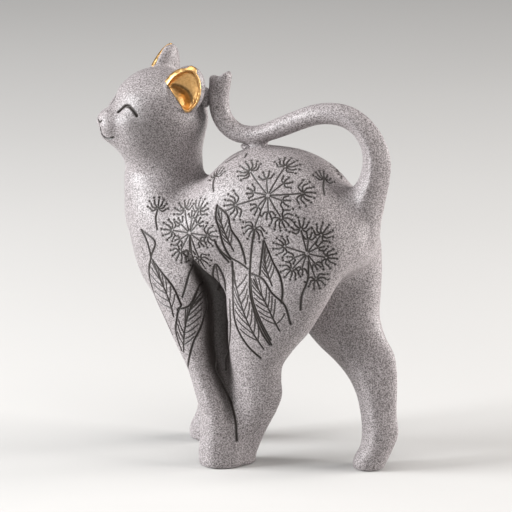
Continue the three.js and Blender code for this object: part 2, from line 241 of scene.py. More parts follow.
def trunk_casting(grid):
    """Field of the trunk, whose sections face along x."""
    values = smooth_rows(TRUNK, 0, grid.axes[0])
    column = [values[:, k][:, None, None] for k in range(6)]
    field = superellipse(grid.y, grid.z - column[2], column[4], column[3], column[5])
    ends = np.maximum(TRUNK[0][0] - grid.x, grid.x - TRUNK[-1][0])
    return carve(field, np.broadcast_to(ends, field.shape), END_ROUND)


def tail_casting(grid):
    """Field of the tail, whose sections face along its own curve, with its width along y."""
    rows = np.array(TAIL, dtype=np.float64)
    length = chord_lengths(rows[:, :3])
    table = np.column_stack([rows, length])
    places = np.linspace(0, length[-1], TAIL_SAMPLES).astype(np.float32)
    samples = smooth_rows(table, 6, places)
    spine = samples[:, [0, 2]]
    along = np.gradient(spine, axis=0)
    pace = np.linalg.norm(along, axis=1)
    along = along / pace[:, None]
    growth = np.gradient(samples[:, 3:6], axis=0) / pace[:, None]
    x, z = np.meshgrid(grid.axes[0], grid.axes[2], indexing="ij")
    flat = np.stack([x.ravel(), z.ravel()], axis=1)
    nearest = np.argmin(((flat[:, None, :] - spine[None, :, :]) ** 2).sum(axis=2), axis=1)
    offset = flat - spine[nearest]
    ahead = (offset * along[nearest]).sum(axis=1)
    inner = np.clip(ahead, -1, 1)[:, None]
    size = samples[nearest, 3:6] + growth[nearest] * inner
    beside = offset[:, 1] * along[nearest, 0] - offset[:, 0] * along[nearest, 1]
    well_inside = -9
    past_start = np.where(nearest == 0, -ahead, well_inside)
    past_end = np.where(nearest == len(spine) - 1, ahead, past_start)
    shape = (x.shape[0], 1, x.shape[1])
    beside, past_end = beside.reshape(shape), past_end.reshape(shape)
    deep, wide, power = (size[:, k].reshape(shape) for k in range(3))
    field = superellipse(grid.y, beside, wide, deep, power)
    top = TAIL_TOP
    for lobe, width, height in TAIL_LOBES:
        top = top + height * np.exp(-(((grid.x - lobe) / width) ** 2))
    field = carve(field, np.broadcast_to((grid.z - top) / LOBE_STEEPNESS, field.shape), TIP_ROUND)
    return carve(field, np.broadcast_to(past_end, field.shape), TAIL_END_ROUND)


# ---- head ------------------------------------------------------------------------------------

def turned(axis, degrees):
    """Rotation matrix about a row axis."""
    angle = math.radians(degrees)
    c, s = math.cos(angle), math.sin(angle)
    if axis == "x":
        return np.array([[1, 0, 0], [0, c, -s], [0, s, c]])
    return np.array([[c, -s, 0], [s, c, 0], [0, 0, 1]])


# The head is turned to the cat's left and rolled. Columns are its forward, left and up.
HEAD_AXES = turned("z", HEAD_YAW) @ np.diag([-1, -1, 1]) @ turned("x", -HEAD_ROLL)


def head_local(x, y, z):
    """Coordinates forward, left and up of the skull's middle."""
    offset = (x - HEAD_CENTRE[0], y - HEAD_CENTRE[1], z - HEAD_CENTRE[2])
    return [sum(HEAD_AXES[row, k] * offset[row] for row in range(3)) for k in range(3)]


# Ellipsoids of the head, each (middle, radii). Those off the middle are there on both sides.
SKULL = ((0, 0, 0), (18.2, 18.4, 17.1))
JAW = ((8, 0, -8), (13, 12.4, 9.8))
JOWL = ((7.5, 8, -5.5), (9, 7.6, 7.4))
CHEEK = ((12.2, 6.8, -1.6), (6.6, 6.2, 6))
BRIDGE = ((14.6, 0, -1.2), (9.4, 4.2, 4.9))
LIPS = ((17.4, 2.8, -4), (7.4, 4.7, 5))
CHIN = ((17.6, 0, -8.2), (6.4, 5, 4.2))
NOSE = ((21.4, 0, -2.9), (3.2, 3, 2.8))


def head_casting(grid):
    """Field of the head, without its ears."""
    forward, left, up = head_local(*grid.points)
    either_side = (forward, np.abs(left), up)
    skull, jaw, jowl, cheek, bridge, lips, chin, nose = (
        ellipsoid(either_side, *part)
        for part in (SKULL, JAW, JOWL, CHEEK, BRIDGE, LIPS, CHIN, NOSE))
    field = blend(blend(blend(skull, jaw, 5), jowl, 4), cheek, 2)
    muzzle = blend(blend(blend(lips, chin, 2), bridge, 3), nose, 1.4)
    return blend(field, muzzle, 2.6)


def ear_axes(side):
    """Directions across the ear's opening, out of it and up to its tip, in the head's frame."""
    tip = np.array([-0.3 - 0.06 * side, 0.05 * side, 0.93])
    tip /= np.linalg.norm(tip)
    opening = np.array([0.5, 0.85 * side, 0.1])
    opening -= tip * opening.dot(tip)
    opening /= np.linalg.norm(opening)
    return np.cross(opening, tip), opening, tip


EAR_ROOT = (-5.4, 12.4, 10)
EAR_LENGTH = 13
EAR_SINK = 3.5
EAR_WALL = 1.5
EAR_END_ROUND = 0.8
EAR_RIM_ROUND = 0.6
# Per millimetre of inset, the leaf that hollows an ear is this much shorter, shallower and
# farther out. No leaf's half sizes are under the least.
INSET_SHORTER, INSET_SHALLOWER, INSET_OUT = 0.8, 0.5, 1.6
LEAST_HALF = 0.3
# The leaf of the left (1) and right (-1) ear: place along it, half width and half depth.
EAR_LEAF = {
    1: [(0, 6.8, 5.2), (0.25, 8.1, 5), (0.5, 7.9, 4.4),
        (0.75, 6.3, 3.4), (0.92, 3.9, 2.3), (1, 1.8, 1.2)],
    -1: [(0, 6.8, 5.2), (0.25, 7.8, 4.8), (0.5, 6.9, 4),
         (0.75, 5, 3.1), (0.92, 2.9, 2), (1, 1.3, 1.1)],
}


def ear_leaf(local, side, inset):
    """Field of the ear's outer leaf, or with an inset of the smaller leaf that hollows it."""
    offset = [local[0] - EAR_ROOT[0], local[1] - EAR_ROOT[1] * side, local[2] - EAR_ROOT[2]]
    across, out, height = (sum(axis[k] * offset[k] for k in range(3)) for axis in ear_axes(side))
    length = EAR_LENGTH + EAR_SINK - inset * INSET_SHORTER
    place = (height + EAR_SINK) / length
    values = smooth_rows(EAR_LEAF[side], 0, np.clip(place, 0, 1).ravel().astype(np.float32))
    wide = np.maximum(values[:, 1].reshape(place.shape) - inset, LEAST_HALF)
    deep = np.maximum(values[:, 2].reshape(place.shape) - inset * INSET_SHALLOWER, LEAST_HALF)
    field = superellipse(across, out - inset * INSET_OUT, wide, deep, 2)
    ends = np.maximum((place - 1) * length, -place * length)
    return carve(field, ends, EAR_END_ROUND)


def ear_casting(grid, side):
    """Field of a hollow ear."""
    local = head_local(*grid.points)
    return carve(ear_leaf(local, side, 0), -ear_leaf(local, side, EAR_WALL), EAR_RIM_ROUND)


# ---- the whole figurine ----------------------------------------------------------------------

# Each piece runs on under its neighbours this far, and sinks this much on the way.
SEAM_LAP = 2.0
SEAM_DIVE = 0.12

# How wide the fillets are where the parts of the figurine meet.
CHEST_FILLET = 8
REAR_LEG_FILLET = 7
FRONT_LEG_FILLET = 3.5
WEB_FILLET = 2
RECESS_FILLET = 2.5
HEAD_FILLET = 7
NECK_FILLET = 2
EAR_FILLET = 1.6
SOLE_FILLET = 1.2
TAIL_FILLET = 1.4
# The tail's fillet grows by up to a reach about the saddle (middle x, width, reach) and towards
# the tail's root (start x, run, reach).
SADDLE_FILLET = (1, 8, 3)
ROOT_FILLET = (30, 12, 6)

# Recess between the front left leg and the thigh: (x, z, half width, y that it reaches in to).
RECESS = [
    (-18.6, 88.5, 0.3, -20), (-15.8, 82.5, 1.8, -15.5), (-12.6, 76.5, 3.2, -11.5),
    (-10.6, 70, 3.8, -10.5), (-9.2, 61, 4.2, -10.5), (-9.5, 52, 3.8, -10.5), (-8.6, 44, 3.3, -11),
    (-6.4, 36, 2.4, -12.5), (-3.8, 28, 1.6, -14.5), (-2.4, 20, 0.9, -16.5), (-1.7, 12, 0.4, -18),
    (-1.5, 6, 0.1, -19.5),
]
RECESS_BOTTOM_ROUND = 4


def recess(x, y, z):
    """Field that is negative inside the recess."""
    best, inner = FAR, 0.0
    for (x0, z0, wide0, in0), (x1, z1, wide1, in1) in zip(RECESS, RECESS[1:]):
        run = np.array([x1 - x0, z1 - z0])
        t = np.clip(((x - x0) * run[0] + (z - z0) * run[1]) / run.dot(run), 0, 1)
        away = np.hypot(x - x0 - t * run[0], z - z0 - t * run[1]) - (wide0 + (wide1 - wide0) * t)
        inner = np.where(away < best, in0 + (in1 - in0) * t, inner)
        best = np.minimum(away, best)
    return carve(best + 0 * y, y - inner, RECESS_BOTTOM_ROUND)


# Middle and half sizes of the wall at the bottom of the recess.
WEB_MIDDLE = (-9, -9.4, 46)
WEB_HALF = (9, 1.9, 34)


def web(grid):
    """Thin wall of stone that joins the two left legs, at the bottom of the recess."""
    sides = [np.abs(at - middle) - half
             for at, middle, half in zip(grid.points, WEB_MIDDLE, WEB_HALF)]
    return np.maximum(np.maximum(sides[0], sides[1]), sides[2])


# Painted shade in the recess, partly the real dark wash left there: its share, how far out it
# starts, its fade, and the y and run over which it dies out on the body's side.
RECESS_WASH_AND_SHADE, RECESS_RIM, RECESS_FADE = 0.94, 2, 2.2
RECESS_SIDE, RECESS_SIDE_RUN = -24.5, 5
# Painted shade, a thin grey that darkens the head's sides about the cheeks: its share, and its
# middle and width along x and z.
CHEEK_PAINTED_SHADE = 0.5
CHEEK_X, CHEEK_X_WIDTH = -39, 9.5
CHEEK_Z, CHEEK_Z_WIDTH = 140, 10


def shade(points):
    """Share of painted shade deep in the recess (partly the real dark wash left there), and of the
    thin grey painted shade on the cheeks.
    """
    x, y, z = points.T
    near = np.clip((RECESS_RIM - recess(x, y, z)) / RECESS_FADE, 0, 1)
    inward = np.clip((y - RECESS_SIDE) / RECESS_SIDE_RUN, 0, 1) * (y < 0)
    # painted shade deep in the recess, partly the real dark wash left there
    deep = RECESS_WASH_AND_SHADE * near * near * (3 - 2 * near) * inward
    # thin: painted shade that darkens the head's sides about the cheeks
    thin = CHEEK_PAINTED_SHADE * np.exp(
        -(((x - CHEEK_X) / CHEEK_X_WIDTH) ** 2) - ((z - CHEEK_Z) / CHEEK_Z_WIDTH) ** 2)
    return np.maximum(deep, thin)


def castings(grid):
    """Field of the whole figurine, and each piece's share of the room (negative where it owns)."""
    trunk = blend(trunk_casting(grid), level_casting(grid, CHEST), CHEST_FILLET)
    legs = {name: level_casting(grid, rows) for name, rows in LEGS.items()}
    neck = blend(level_casting(grid, NECK), head_casting(grid), HEAD_FILLET)
    ears = {"left_ear": ear_casting(grid, 1), "right_ear": ear_casting(grid, -1)}
    tail = tail_casting(grid)

    body = trunk
    for name in legs:
        fillet = REAR_LEG_FILLET if name.startswith("rear") else FRONT_LEG_FILLET
        body = blend(body, legs[name], fillet)
    body = blend(body, web(grid), WEB_FILLET)
    body = carve(body, -recess(*grid.points), RECESS_FILLET)
    body = blend(body, neck, NECK_FILLET)
    saddle, width, saddle_reach = SADDLE_FILLET
    root, run, root_reach = ROOT_FILLET
    bonded = (saddle_reach * np.exp(-(((grid.x - saddle) / width) ** 2))
              + root_reach * np.clip((grid.x - root) / run, 0, 1))
    body = blend(body, tail, TAIL_FILLET + bonded)
    for name in ears:
        body = blend(body, ears[name], EAR_FILLET)
    body = carve(body, np.broadcast_to(-grid.z, body.shape), SOLE_FILLET)

    own = dict(legs, torso=trunk, head_and_neck=neck, tail=tail, **ears)
    share = {}
    for name in (*legs, *ears, "tail"):
        others = np.minimum.reduce([own[other] for other in own if other != name])
        share[name] = (own[name] - others) / 2
        if name in legs:
            seam = HIP_SEAM if name.startswith("rear") else SHOULDER_SEAM
            share[name] = np.maximum(share[name], grid.z - seam)
    taken = np.maximum.reduce([-share[name] for name in (*ears, "tail")])
    behind = grid.x - NECK_BACK - NECK_LEAN * (grid.z - NECK_SEAM)
    share["head_and_neck"] = np.maximum(taken, np.maximum(NECK_SEAM - grid.z, behind))
    share["torso"] = np.maximum.reduce([-owned for owned in share.values()])
    return body, share


def largest_shell(points, quads):
    """The surface's biggest connected part, without loose crumbs."""
    label = np.arange(len(points))
    edges = np.concatenate([quads[:, [0, 1]], quads[:, [1, 2]], quads[:, [2, 3]]])
    while True:
        low = np.minimum(label[edges[:, 0]], label[edges[:, 1]])
        before = label.copy()
        np.minimum.at(label, edges[:, 0], low)
        np.minimum.at(label, edges[:, 1], low)
        label = label[label]
        if np.array_equal(label, before):
            break
    keep = label == np.bincount(label).argmax()
    number = np.cumsum(keep) - 1
    return points[keep], number[quads[keep[quads[:, 0]]]]


# Fields are cut off at this distance before they are made into a surface.
FIELD_CLIP = 3.0


def surface(field, grid):
    """Points in millimetres and triangles of a field's surface, facing out."""
    levels = openvdb.FloatGrid()
    levels.background = FIELD_CLIP
    clipped = np.clip(field, -FIELD_CLIP, FIELD_CLIP)
    levels.copyFromArray(np.ascontiguousarray(clipped, dtype=np.float32))
    points, quads = levels.convertToQuads(0.0)
    points, quads = largest_shell(points * grid.step + grid.low, quads.astype(np.int64))
    return points, np.concatenate([quads[:, [0, 1, 2]], quads[:, [0, 2, 3]]])


# ---- engraving -------------------------------------------------------------------------------
# Lines are drawn on the side view (x, z), then laid on the castings from the side.

# Half width and depth of each kind of line.
STROKE = (0.4, 0.45)
STALK, SHORT_STALK = (0.28, 0.34), (0.28, 0.3)
FILAMENT, DOT = (0.31, 0.4), (0.46, 0.5)
SEED_STEM, TICK = (0.36, 0.4), (0.34, 0.4)
LEAF_EDGE, LEAF_RIB, LEAF_VEIN = (0.42, 0.5), (0.32, 0.4), (0.25, 0.3)
HAIR, CREASE = (0.24, 0.3), (0.5, 0.5)
LID, MOUTH, LIP, NOSTRIL = (0.62, 0.9), (0.45, 0.7), (0.4, 0.5), (0.36, 0.4)


class Line:
    """Points of an engraved line, its half width and depth, and the place they are about.

    Points without such a place are on the side view itself.
    """

    def __init__(self, points, cut=STROKE, about=None):
        self.points = np.array(points, dtype=float)
        self.half, self.deep = cut
        self.about = about


def curve(points, spacing=0.15):
    """Smooth curve through given points, sampled evenly."""
    points = np.array(points, dtype=float)
    chord = chord_lengths(points)
    rows = np.column_stack([points, chord])
    count = max(3, int(chord[-1] / spacing) + 1)
    places = np.linspace(0, chord[-1], count).astype(np.float32)
    return smooth_rows(rows, points.shape[1], places)[:, :-1]


def toward(angle, reach):
    """Offset on the side view, at an angle in degrees from +x."""
    return np.array([math.cos(math.radians(angle)), math.sin(math.radians(angle))]) * reach


# A filament starts this far from its fan's centre. Then come its bend, its end and its dot,
# each at a share of its turn and of its reach.
FILAMENT_START = 0.7
BEND_AT, END_AT, DOT_AT = (1.12, 0.55), (0.86, 0.88), (0.82, 1.1)


def umbel(centre, outward, spread, count, length):
    """Fan of bent filaments, each ending in a dot, laid flat on the surface about its centre."""
    lines = []
    for number in range(count):
        turn = spread * (2 * number / (count - 1) - 1)
        reach = length * (1 + 0.09 * math.sin(7.1 * number + centre[0]))
        start = toward(outward + turn, FILAMENT_START)
        bend, end, dot = (toward(outward + turn * sweep, reach * share)
                          for sweep, share in (BEND_AT, END_AT, DOT_AT))
        lines.append(Line(curve([start, bend, end]), FILAMENT, centre))
        lines.append(Line([dot], DOT, centre))
    return lines


OUTER_SPREAD = 112
INNER_SPREAD, INNER_COUNT, INNER_LENGTH = 74, 4, 0.6


def dandelion(hub, outer, inner, count, length):
    """Seed head: stalks from the hub to outer fans, and smaller fans nearer the hub."""
    hub, lines = np.array(hub, dtype=float), []
    for angle, reach in outer:
        centre = hub + toward(angle, reach)
        stalk = curve([hub + toward(angle, 1), centre - toward(angle, 0.5)])
        lines.append(Line(stalk, STALK))
        lines += umbel(centre, angle, OUTER_SPREAD, count, length)
    for angle, reach in inner:
        centre = hub + toward(angle, reach)
        lines.append(Line(curve([hub + toward(angle, 1), centre]), SHORT_STALK))
        lines += umbel(centre, angle, INNER_SPREAD, INNER_COUNT, length * INNER_LENGTH)
    return lines


SEED_SPREAD, SEED_COUNT, SEED_LENGTH = 100, 7, 4.2


def seed(head, stem):
    """One flying seed: a fan on a bent stem."""
    head, stem = np.array(head, dtype=float), np.array(stem, dtype=float)
    outward = math.degrees(math.atan2(-stem[1], -stem[0]))
    middle = stem / 2 + np.array([stem[1], -stem[0]]) * 0.07
    fan = umbel(head, outward, SEED_SPREAD, SEED_COUNT, SEED_LENGTH)
    return fan + [Line(curve([(0, 0), middle, stem]), SEED_STEM, head)]


# Veins leave the rib from the first share of its length on, over the run. Each one meets the
# place that is a slant nearer the tip, goes a reach of the way to the margin, and bows a little.
VEIN_FIRST, VEIN_RUN, VEIN_SLANT, VEIN_REACH, VEIN_BOW = 0.22, 0.76, 0.2, 0.82, 0.08


def leaf(left, rib, right, veins=6):
    """Lance-shaped leaf, tip first: its edges, midrib, and side veins that slant to the tip."""
    left, rib, right = curve(left), curve(rib), curve(right)
    lines = [Line(left, LEAF_EDGE), Line(right, LEAF_EDGE), Line(rib, LEAF_RIB)]
    for edge in (left, right):
        for number in range(veins):
            t = VEIN_FIRST + VEIN_RUN * number / veins
            foot = rib[int(t * (len(rib) - 1))]
            probe = rib[int(max(t - VEIN_SLANT, 0) * (len(rib) - 1))]
            margin = edge[np.argmin(((edge - probe) ** 2).sum(1))]
            end = probe + (margin - probe) * VEIN_REACH
            bend = (foot + end) / 2 + (margin - probe) * VEIN_BOW
            lines.append(Line(curve([foot, bend, end]), LEAF_VEIN))
    return lines


ENGRAVING = [
    *dandelion((15, 116.5),
               [(143, 12.5), (71, 10.5), (6, 13), (-51, 10.3), (-109, 13.8), (-159, 14)],
               [(110, 5.9), (42, 6.7), (175, 6), (232, 5.7), (-14, 6.2), (-80, 6.1)], 8, 5.1),
    *dandelion((-18, 98), [(180, 8), (243, 8.9), (-68, 10.8), (0, 8), (70, 10.1), (115, 9.4)],
               [(85, 6), (146, 5.4), (49, 5.3), (217, 5), (270, 7), (-29, 5.1)], 7, 4.3),
    *dandelion((32, 95), [(105, 9.8), (56, 9), (-12, 7.2), (229, 9.2), (167, 9.2), (-74, 10.9)],
               [(85, 5.5), (32, 4.7), (202, 5.4), (252, 6.3), (-53, 5)], 7, 4.2),
    *seed((-33.7, 105.3), (0.4, -8.4)),
    *seed((-10.8, 120), (1.4, -7)),
    *seed((33, 121.7), (3.4, -6.4)),
    Line(curve([(-4.6, -1.6), (-2.2, -0.5), (0, 1)]), TICK, (-4.5, 127)),
    Line(curve([(4.2, 1.6), (4.6, 0.4), (4.4, -1)]), TICK, (-4.5, 127)),
    Line(curve([(10.5, 103), (8, 89), (7.6, 77.5), (9.2, 69.3), (12, 60), (14.7, 54.6)])),
    Line(curve([(-17.8, 97), (-17.5, 86), (-19.8, 78), (-21.8, 71)])),
    Line(curve([(32.6, 91.6), (32, 84), (29.4, 77), (28.4, 71)])),
    Line(curve([(-41, 96), (-34, 92), (-36.3, 86)])),
    Line(curve([(-41, 96), (-38.5, 92.4), (-37, 88.4), (-36.4, 85)])),
    *leaf([(-36.4, 85), (-37.6, 80.7), (-37, 73.4), (-34.5, 66), (-31, 59.5), (-27.7, 53.7)],
          [(-35.4, 83.7), (-30.6, 75), (-27, 67.2), (-25.8, 62.3)],
          [(-36.4, 85), (-31, 80), (-26.4, 75.5), (-23, 69.3), (-22.3, 67.5), (-23.8, 65.5)]),
    *leaf([(-15.7, 76.5), (-17, 72), (-19.7, 67), (-23, 65.6), (-24.4, 61), (-25.2, 56.7),
           (-24.7, 52.4), (-23.2, 48)],
          [(-15.2, 73), (-18.6, 66), (-20.5, 59.5), (-21.5, 53), (-22.1, 47.7)],
          [(-14.7, 71), (-14.1, 65.5), (-14.9, 59), (-17.4, 52.6), (-19, 47), (-21.3, 40.6)], 8),
    *leaf([(-6.4, 110.5), (-6.5, 106), (-4.7, 101), (-3.2, 95), (-0.9, 89.4)],
          [(-6, 109), (-5.2, 107), (-2.9, 101.2), (0.9, 92.7)],
          [(-6.4, 110.2), (-1.3, 107), (0.2, 102), (3.5, 97.4), (5.1, 92), (5.7, 87.8)]),
    Line(curve([(-7, 96.6), (-4.8, 91.7), (-2, 87.5)])),
    Line(curve([(-7, 96.6), (-5.8, 94), (-3, 90.5), (-0.9, 88.6)])),
    Line(curve([(-0.9, 89.4), (3, 87.8), (6.6, 85.8)])),
    *leaf([(14.2, 98.5), (13.1, 91.7), (12.1, 84.2)], [(14.5, 96.5), (15, 87), (17.7, 80.5)],
          [(14.4, 98.3), (17.9, 90.3), (20.9, 85), (22.1, 79.3), (21.4, 73.7)]),
    *leaf([(-0.4, 87.7), (-1.2, 73), (0.7, 60.6), (5.3, 53.2), (10.3, 48.4)],
          [(-0.2, 84), (0, 80), (3.1, 71), (7.3, 61), (12, 52.6)],
          [(7.5, 86), (8, 74.6), (11.2, 65), (15.4, 54.7)], 8),
    *leaf([(8, 82), (8.6, 75), (11.6, 66), (15.4, 57)], [(9.4, 82), (14.7, 73), (19.4, 61.3)],
          [(8.4, 84), (13, 83), (17.9, 77.2), (22.2, 73.4), (24, 64.6)], 7),
    Line(curve([(-11.3, 72.5), (-9.9, 80.2), (-7.4, 86), (-5.5, 80.6), (-5.6, 74)])),
    Line(curve([(-7.4, 86), (-7.8, 80), (-8.4, 75)]), HAIR),
    Line(curve([(-3, 71), (-2.7, 60.7), (-4.4, 51.5), (-7.9, 44), (-7.7, 39.5)])),
    Line(curve([(-12.4, 49), (-10.6, 40), (-7.6, 34), (-4.2, 28), (-1.6, 20.6), (-0.8, 12)]),
         CREASE),
]

# Face lines are in the head's own frame: forward, left and up.
FACE = [
    Line(curve([(18.6, 5, 2.6), (17.6, 5.7, 4.2), (16.4, 6.7, 5.4), (15.4, 8, 5.8),
                (14.4, 10.1, 5.2), (13, 12.8, 3.2)]), LID),
    Line(curve([(25.4, 0.2, -6), (24, 1.4, -8.2), (22.6, 3, -9.2), (21.4, 4.7, -9.1),
                (20.6, 6.1, -8)]), MOUTH),
    Line(curve([(26.4, 0.1, -2.6), (25.9, 0.1, -4.4), (25.4, 0.2, -6)]), LIP),
    Line(curve([(26, 0.2, -2.8), (25.4, 1.6, -2.7), (24.6, 2.5, -1.8)]), NOSTRIL),
]


# Where the rays that lay the side lines start, clear of the figurine.
WELL_ASIDE = 60


def side_spots(tree, line, side):
    """A line's points on the left (side -1) or the right of the figurine."""
    def onto(x, z):
        return tree.ray_cast(Vector((x, side * WELL_ASIDE, z)), Vector((0, -side, 0)))

    if line.about is None:
        return [onto(x, z)[0] for x, z in line.points]
    middle, normal = onto(*line.about)[:2]
    if middle is None:
        return []
    across = (Vector((1, 0, 0)) - normal * normal.x).normalized()
    upward = normal.cross(across) * -side
    return [tree.find_nearest(middle + across * x + upward * z)[0] for x, z in line.points]


# Side lines are kept only this far out from the middle, so none is laid inside the legs.
LEAST_ASIDE = 3


def laid_on(shapes):
    """Every line's points laid on the castings, with their half widths and depths."""
    points = np.concatenate([shape[0] for shape in shapes.values()])
    start, faces = 0, []
    for vertices, triangles in shapes.values():
        faces.append(triangles + start)
        start += len(vertices)
    tree = BVHTree.FromPolygons(points.tolist(), np.concatenate(faces).tolist())
    found = []
    for line in ENGRAVING:
        for side in (-1, 1):
            for spot in side_spots(tree, line, side):
                if spot is not None and spot.y * side > LEAST_ASIDE:
                    found.append((*spot, line.half, line.deep))
    for line in FACE:
        for side in (1, -1):
            for forward, left, up in line.points:
                spot = HEAD_AXES @ (forward, left * side, up) + HEAD_CENTRE
                near = tree.find_nearest(Vector(spot))[0]
                found.append((*near, line.half, line.deep))
    return np.array(found)


def normals_of(points, triangles):
    """Outward normal of each point, weighted by the areas of its triangles."""
    corner = points[triangles]
    face = np.cross(corner[:, 1] - corner[:, 0], corner[:, 2] - corner[:, 0])
    total = np.zeros_like(points)
    for k in range(3):
        for axis in range(3):
            total[:, axis] += np.bincount(triangles[:, k], face[:, axis], len(points))
    return total / (np.linalg.norm(total, axis=1)[:, None] + 1e-12)


# Share of its neighbours' fall that lifts a new point onto the curved surface.
ROUNDING = 0.375


def refine(points, triangles, wanted):
    """Splits every edge that wanted picks, and rounds the new points with the surface."""
    normals = normals_of(points, triangles)
    pairs = np.concatenate([triangles[:, [0, 1]], triangles[:, [1, 2]], triangles[:, [2, 0]]])
    edges, where = np.unique(np.sort(pairs, axis=1), axis=0, return_inverse=True)
    where = where.reshape(3, -1).T
    split = wanted(points, edges)
    number = np.where(split, len(points) + np.cumsum(split) - 1, -1)
    a, b = points[edges[split, 0]], points[edges[split, 1]]
    na, nb = normals[edges[split, 0]], normals[edges[split, 1]]
    middle = (a + b) / 2
    fall = ((middle - a) * na).sum(1)[:, None] * na + ((middle - b) * nb).sum(1)[:, None] * nb
    points = np.concatenate([points, middle - ROUNDING * fall])
    mids = number[where]
    count = (mids >= 0).sum(axis=1)
    made = [triangles[count == 0]]
    for turn in range(3):
        order = [(turn + k) % 3 for k in range(3)]
        v, m = triangles[:, order], mids[:, order]
        one = (count == 1) & (m[:, 0] >= 0)
        made += [np.column_stack([v[one, 0], m[one, 0], v[one, 2]]),
                 np.column_stack([m[one, 0], v[one, 1], v[one, 2]])]
        two = (count == 2) & (m[:, 2] < 0)
        made += [np.column_stack([m[two, 0], v[two, 1], m[two, 1]]),
                 np.column_stack([v[two, 0], m[two, 0], m[two, 1]]),
                 np.column_stack([v[two, 0], m[two, 1], v[two, 2]])]
    v, m = triangles[count == 3], mids[count == 3]
    made += [np.column_stack([v[:, 0], m[:, 0], m[:, 2]]),
             np.column_stack([m[:, 0], v[:, 1], m[:, 1]]),
             np.column_stack([m[:, 2], m[:, 1], v[:, 2]]), m]
    return points, np.concatenate(made)


# Points farther than this from the box of all cuts are not looked at.
CUT_REACH = 3


def nearness(points, tree, cuts):
    """Distance to the nearest cut over its half width, its depth, and the plain distance."""
    away = np.full(len(points), FAR)
    index = np.zeros(len(points), dtype=int)
    low, high = cuts[:, :3].min(0) - CUT_REACH, cuts[:, :3].max(0) + CUT_REACH
    inside = np.nonzero(np.all((points > low) & (points < high), axis=1))[0]
    for i in inside:
        _, index[i], away[i] = tree.find(points[i])
    return away / cuts[index, 3], cuts[index, 4], away


# Passes that split a casting's edges near its cuts: (longest edge left, how near a cut).
COARSE_PASS = (0.5, 1.1)
FINE_PASS = (0.3, 0.7)
TORSO_FINE_PASS = (0.38, 0.5)

# In half widths of a cut: where the groove ends, and how far the wash runs beyond it.
GROOVE_END = 1.35
WASH_END = 1.75


def engrave(node, points, triangles, tree, cuts):
    """Sinks the cuts in a casting, and gives each point its share of dark wash in the cuts and of
    painted shade.
    """
    passes = [COARSE_PASS]
    passes.append(TORSO_FINE_PASS if node == "torso" else FINE_PASS)
    for finest, band in passes:
        _, _, away = nearness(points, tree, cuts)

        def wanted(now, edges):
            length = np.linalg.norm(now[edges[:, 0]] - now[edges[:, 1]], axis=1)
            near = np.minimum(away[edges[:, 0]], away[edges[:, 1]]) < band
            return (length > finest) & near

        points, triangles = refine(points, triangles, wanted)
    ratio, deep, _ = nearness(points, tree, cuts)
    t = np.clip(ratio / GROOVE_END, 0, 1)
    sink = deep * (1 - t * t * (3 - 2 * t))
    # the lines' dark wash, with the painted shade of the recess and cheeks from shade()
    wash_and_painted_shade = np.maximum(np.clip(WASH_END - ratio, 0, 1), shade(points))
    return points - normals_of(points, triangles) * sink[:, None], triangles, wash_and_painted_shade


# ---- meshes ----------------------------------------------------------------------------------

STEPS = {
    "torso": 1.0, "head_and_neck": 0.5, "tail": 0.5, "left_ear": 0.3, "right_ear": 0.3,
    "front_left_leg": 0.7, "front_right_leg": 0.7, "rear_left_leg": 0.8, "rear_right_leg": 0.8,
}
COARSENESS = 1.0
LINING_STEP = 0.25
BOND_STEP = 0.3
GRID_MARGIN = 3.0


def node_box(node):
    """Low and high corners of a CAD node, in the sections' own millimetres."""
    return [np.array(corner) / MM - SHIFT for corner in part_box(node)]


def piece_grid(node, step):
    """Sample points in and around a CAD node."""
    low, high = node_box(node)
    return Grid(low - GRID_MARGIN, high + GRID_MARGIN, step)


def sculpt(node):
    """Points and triangles of one casting, before it is engraved."""
    grid = piece_grid(node, STEPS[node] * COARSENESS)
    body, share = castings(grid)
    dive = SEAM_DIVE * np.clip(share[node] / SEAM_LAP, 0, 1)
    return surface(np.maximum(body + dive, share[node] - SEAM_LAP), grid)


def new_piece(name, points, triangles):
    """Smooth object made of points in the sections' own millimetres."""
    mesh = bpy.data.meshes.new(name)
    mesh.vertices.add(len(points))
    mesh.vertices.foreach_set("co", ((points + SHIFT) * MM).astype(np.float32).ravel())
    mesh.loops.add(len(triangles) * 3)
    mesh.loops.foreach_set("vertex_index", triangles.astype(np.int32).ravel())
    mesh.polygons.add(len(triangles))
    mesh.polygons.foreach_set("loop_start", np.arange(0, len(triangles) * 3, 3, dtype=np.int32))
    mesh.update(calc_edges=True)
    mesh.shade_smooth()
    piece = bpy.data.objects.new(name, mesh)
    bpy.context.scene.collection.objects.link(piece)
    return piece


# ---- materials -------------------------------------------------------------------------------

